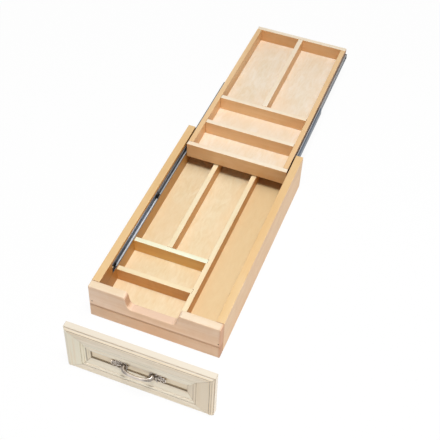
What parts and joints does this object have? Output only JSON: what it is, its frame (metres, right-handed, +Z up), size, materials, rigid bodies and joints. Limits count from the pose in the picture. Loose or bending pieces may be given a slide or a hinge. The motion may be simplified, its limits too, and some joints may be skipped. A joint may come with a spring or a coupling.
{
  "type": "two-tier cutlery drawer",
  "caption": "Pull-out wooden cutlery drawer with a sliding upper tray on ball-bearing slides and a loose cream panelled front with an arched handle",
  "frame": {"origin": "on the underside of the drawer's front rail, midway across the drawer and midway through the rail's thickness", "axes": "+X to the right seen from the front, +Y from the front of the drawer towards its back, +Z up; the drawer and the loose front stand on z = 0"},
  "size_m": [0.329, 1.1441, 0.127],
  "materials": {
    "drawer_wood": "clear satin maple",
    "divider_wood": "clear satin maple, pale",
    "floor_wood": "clear satin veneered ply",
    "tray_wood": "clear satin maple, pale",
    "cream_finish": "cream paint with brown glaze in the mouldings",
    "slide_steel": "zinc-plated sheet",
    "black_plastic": "moulded black plastic",
    "pewter": "antique pewter, darkened in the hollows"
  },
  "bodies": {
    "drawer": {"drawer_side_left": "drawer_wood", "drawer_side_right": "drawer_wood", "drawer_front_board": "drawer_wood", "drawer_front_rail": "drawer_wood", "drawer_back": "drawer_wood", "drawer_bottom": "floor_wood", "divider_long_middle": "divider_wood", "divider_long_right": "divider_wood", "divider_cross_front": "divider_wood", "divider_cross_rear": "divider_wood", "slide_outer_left": "slide_steel", "slide_outer_right": "slide_steel", "slide_bumper_left": "black_plastic", "slide_bumper_right": "black_plastic"},
    "tray": {"tray_side_left": "tray_wood", "tray_side_right": "tray_wood", "tray_front": "tray_wood", "tray_back": "tray_wood", "tray_bottom": "floor_wood", "tray_divider_cross_front": "tray_wood", "tray_divider_cross_rear": "tray_wood", "tray_divider_long": "tray_wood", "slide_inner_left": "slide_steel", "slide_inner_right": "slide_steel", "slide_end_cap_left": "black_plastic", "slide_end_cap_right": "black_plastic"},
    "front": {"front_stile_left": "cream_finish", "front_stile_right": "cream_finish", "front_rail_top": "cream_finish", "front_rail_bottom": "cream_finish", "front_moulding_left": "cream_finish", "front_moulding_right": "cream_finish", "front_moulding_top": "cream_finish", "front_moulding_bottom": "cream_finish", "front_panel": "cream_finish", "handle": "pewter"},
    "slide_middle_body_left": {"slide_middle_left": "slide_steel", "slide_clip_left": "black_plastic"},
    "ball_cage_outer_body_left": {"ball_cage_outer_left": "slide_steel"},
    "ball_cage_inner_body_left": {"ball_cage_inner_left": "slide_steel"},
    "slide_middle_body_right": {"slide_middle_right": "slide_steel", "slide_clip_right": "black_plastic"},
    "ball_cage_outer_body_right": {"ball_cage_outer_right": "slide_steel"},
    "ball_cage_inner_body_right": {"ball_cage_inner_right": "slide_steel"}
  },
  "joints": [
    {"name": "tray_slide", "type": "slide", "parent": "drawer", "child": "tray", "axis": [0, -1, 0], "range_m": [0, 0.455]},
    {"name": "slide_middle_travel_left", "type": "slide", "parent": "drawer", "child": "slide_middle_body_left", "axis": [0, -1, 0], "range_m": [0, 0.2275]},
    {"name": "ball_cage_outer_travel_left", "type": "slide", "parent": "drawer", "child": "ball_cage_outer_body_left", "axis": [0, -1, 0], "range_m": [0, 0.11375]},
    {"name": "ball_cage_inner_travel_left", "type": "slide", "parent": "drawer", "child": "ball_cage_inner_body_left", "axis": [0, -1, 0], "range_m": [0, 0.34125]},
    {"name": "slide_middle_travel_right", "type": "slide", "parent": "drawer", "child": "slide_middle_body_right", "axis": [0, -1, 0], "range_m": [0, 0.2275]},
    {"name": "ball_cage_outer_travel_right", "type": "slide", "parent": "drawer", "child": "ball_cage_outer_body_right", "axis": [0, -1, 0], "range_m": [0, 0.11375]},
    {"name": "ball_cage_inner_travel_right", "type": "slide", "parent": "drawer", "child": "ball_cage_inner_body_right", "axis": [0, -1, 0], "range_m": [0, 0.34125]},
    {"name": "loose_front_approach", "type": "slide", "parent": "drawer", "child": "front", "axis": [-0.2188, 0.9758, 0], "range_m": [0, 0.11652]}
  ],
  "couplings": [
    {"joint": "slide_middle_travel_left", "follows": "tray_slide", "ratio": 0.5},
    {"joint": "ball_cage_outer_travel_left", "follows": "tray_slide", "ratio": 0.25},
    {"joint": "ball_cage_inner_travel_left", "follows": "tray_slide", "ratio": 0.75},
    {"joint": "slide_middle_travel_right", "follows": "tray_slide", "ratio": 0.5},
    {"joint": "ball_cage_outer_travel_right", "follows": "tray_slide", "ratio": 0.25},
    {"joint": "ball_cage_inner_travel_right", "follows": "tray_slide", "ratio": 0.75}
  ]
}
